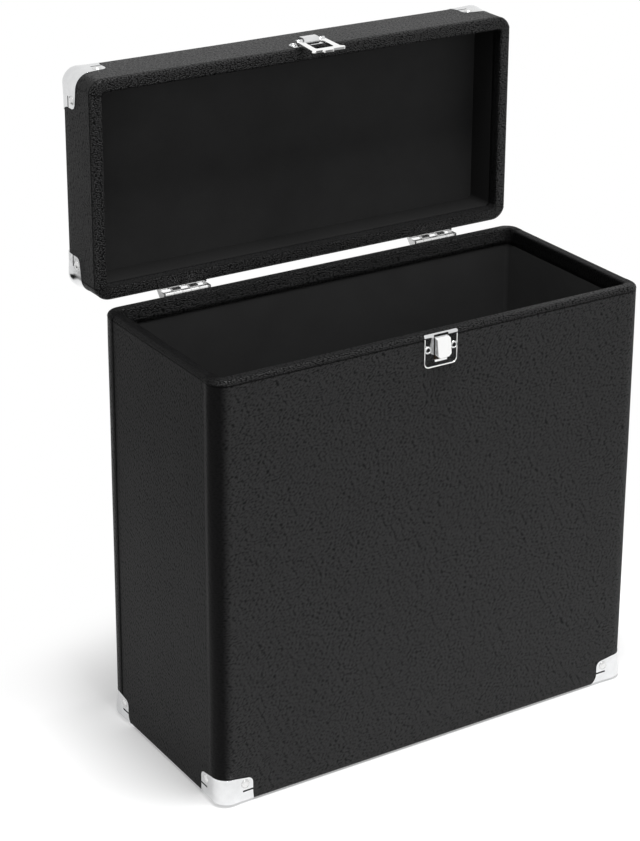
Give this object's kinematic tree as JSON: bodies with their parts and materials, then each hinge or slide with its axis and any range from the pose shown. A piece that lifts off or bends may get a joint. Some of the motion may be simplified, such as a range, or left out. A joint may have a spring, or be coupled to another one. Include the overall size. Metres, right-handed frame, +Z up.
{
  "type": "record carrying case",
  "caption": "Upright black leathercloth carrying case for twelve-inch records: lid hinged at the back, bright corner caps, spring latch with a swinging hasp loop, and a folding lid handle.",
  "frame": {"origin": "middle of the underside, on the surface that the case stands on", "axes": "+Z up, +X along the long side to the right seen from the front, +Y from the front wall with the latch to the back wall with the hinges; the lid is stored open, standing upright behind the body"},
  "size_m": [0.349, 0.226, 0.4767],
  "materials": {
    "leathercloth": "black embossed leathercloth, satin, with a pebble grain",
    "fibreboard": "bare pressed fibreboard",
    "lining_cloth": "black matt lining cloth",
    "bright_chrome": "bright plated steel",
    "nickelled_steel": "nickel-plated steel",
    "spring_steel": "blued spring strip",
    "handle_plastic": "black moulded plastic"
  },
  "bodies": {
    "body": {"body_cover": "leathercloth", "body_front_board": "fibreboard", "body_back_board": "fibreboard", "body_left_board": "fibreboard", "body_right_board": "fibreboard", "body_corner_posts": "fibreboard", "body_bottom_board": "fibreboard", "body_floor_lining": "lining_cloth", "body_wall_lining": "lining_cloth", "base_sheet": "leathercloth", "body_cap_front_left": "bright_chrome", "body_cap_front_right": "bright_chrome", "body_cap_back_right": "bright_chrome", "body_cap_back_left": "bright_chrome", "body_cap_nails": "bright_chrome", "latch_plate": "bright_chrome", "latch_rivets": "bright_chrome", "latch_spring": "spring_steel", "hinge_left_body_leaf": "nickelled_steel", "hinge_right_body_leaf": "nickelled_steel", "hinge_pins": "nickelled_steel", "body_hinge_screws": "nickelled_steel"},
    "lid": {"lid_cover": "leathercloth", "lid_top_board": "fibreboard", "lid_front_board": "fibreboard", "lid_back_board": "fibreboard", "lid_left_board": "fibreboard", "lid_right_board": "fibreboard", "lid_corner_posts": "fibreboard", "lid_wall_lining": "lining_cloth", "lid_top_lining": "lining_cloth", "lid_cap_front_left": "bright_chrome", "lid_cap_front_right": "bright_chrome", "lid_cap_back_right": "bright_chrome", "lid_cap_back_left": "bright_chrome", "lid_cap_nails": "bright_chrome", "hinge_left_lid_leaf": "nickelled_steel", "hinge_right_lid_leaf": "nickelled_steel", "lid_hinge_screws": "nickelled_steel", "hasp_plate": "bright_chrome", "hasp_pin": "bright_chrome", "hasp_rivets": "bright_chrome", "handle_left_bracket": "nickelled_steel", "handle_right_bracket": "nickelled_steel", "handle_pins": "nickelled_steel", "handle_screws": "nickelled_steel"},
    "latch_catch": {"latch_catch": "bright_chrome"},
    "hasp_loop": {"hasp_loop": "bright_chrome"},
    "handle": {"handle_grip": "handle_plastic"}
  },
  "joints": [
    {"name": "lid_hinge", "type": "hinge", "parent": "body", "child": "lid", "pos_m": [0, 0.0822, 0.3098], "axis": [1, 0, 0], "range_deg": [0, 90]},
    {"name": "catch_slide", "type": "slide", "parent": "body", "child": "latch_catch", "axis": [0, 1, 0], "range_m": [0, 0.004], "stiffness_N_per_m": 300, "springref_m": -0.004, "deforming": ["latch_spring"]},
    {"name": "hasp_swing", "type": "hinge", "parent": "lid", "child": "hasp_loop", "pos_m": [0, 0.087, 0.4748], "axis": [-1, 0, 0], "range_deg": [0, 150]},
    {"name": "handle_swing", "type": "hinge", "parent": "lid", "child": "handle", "pos_m": [0, 0.136, 0.392], "axis": [1, 0, 0], "range_deg": [0, 180]}
  ]
}
